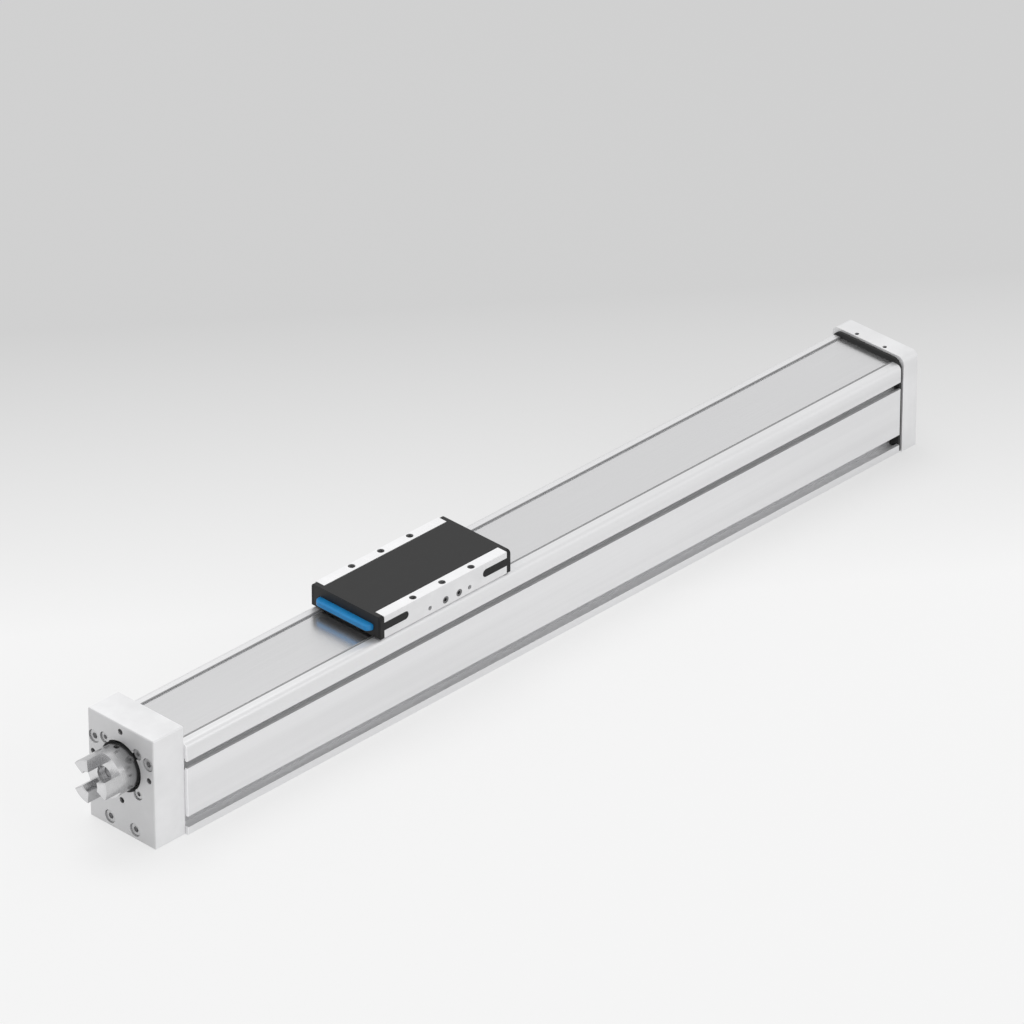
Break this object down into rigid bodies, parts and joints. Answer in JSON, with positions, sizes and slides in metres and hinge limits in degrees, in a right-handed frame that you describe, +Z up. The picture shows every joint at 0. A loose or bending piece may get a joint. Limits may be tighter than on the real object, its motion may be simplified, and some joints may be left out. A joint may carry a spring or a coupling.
{
  "type": "ball screw linear axis",
  "caption": "Linear axis with a closed aluminium profile, steel cover strip, low slide over the strip and a ball screw driven through a claw coupling hub.",
  "frame": {"origin": "centre of the profile's base face, half way along the profile", "axes": "+X along the axis from the drive end to the end cover, +Z up out of the carriage top, +Y across to the left seen from the drive end"},
  "size_m": [0.7403, 0.065, 0.0848],
  "materials": {
    "anodised_aluminium": "satin anodised",
    "strip_steel": "satin",
    "black_plastic": "satin black",
    "black_rubber": "matt",
    "blue_plastic": "satin",
    "white_plastic": "satin",
    "magnet_rubber": "matt",
    "dark_screw_steel": "black oxide",
    "zinc_screw_steel": "zinc plated",
    "machined_steel": "ground",
    "guide_steel": "ground and polished",
    "hub_aluminium": "turned"
  },
  "bodies": {
    "housing": {"profile": "anodised_aluminium", "drive_cover": "anodised_aluminium", "end_cover": "anodised_aluminium", "end_gasket": "black_rubber", "drive_cover_screws": "zinc_screw_steel", "end_cover_screws": "zinc_screw_steel", "cover_strip": "strip_steel", "magnet_strips": "magnet_rubber", "strip_anchor_bar": "machined_steel", "strip_anchor_screws": "dark_screw_steel", "strip_clamp_bar": "machined_steel", "strip_clamp_screws": "dark_screw_steel", "guide_rail": "guide_steel", "rail_screws": "dark_screw_steel", "fixed_bearing_outer_ring": "guide_steel", "bearing_retainer": "dark_screw_steel", "retainer_screws": "zinc_screw_steel", "floating_bearing_outer_ring": "guide_steel"},
    "carriage": {"carriage_body": "anodised_aluminium", "carriage_cover": "black_plastic", "drive_side_end_cap": "black_plastic", "end_side_end_cap": "black_plastic", "drive_side_bumper": "blue_plastic", "end_side_bumper": "blue_plastic", "drive_side_strip_deflector": "white_plastic", "end_side_strip_deflector": "white_plastic", "drive_side_guide_block": "guide_steel", "end_side_guide_block": "guide_steel", "guide_block_screws": "dark_screw_steel", "ball_nut": "guide_steel", "nut_screws": "dark_screw_steel", "port_plugs": "zinc_screw_steel"},
    "spindle": {"ball_screw": "guide_steel", "bearing_locknut": "machined_steel", "coupling_hub": "hub_aluminium", "coupling_set_screw": "dark_screw_steel", "fixed_bearing_inner_ring": "guide_steel", "floating_bearing_inner_ring": "guide_steel", "circlip": "dark_screw_steel"}
  },
  "joints": [
    {"name": "carriage_travel", "type": "slide", "parent": "housing", "child": "carriage", "axis": [1, 0, 0], "range_m": [-0.168, 0.3704], "deforming": ["cover_strip"]},
    {"name": "screw_turn", "type": "hinge", "parent": "housing", "child": "spindle", "pos_m": [0, 0, 0.05], "axis": [1, 0, 0], "range_deg": [-13335.4, 6049]}
  ],
  "couplings": [
    {"joint": "screw_turn", "follows": "carriage_travel", "rad_per_m": -628.32}
  ]
}
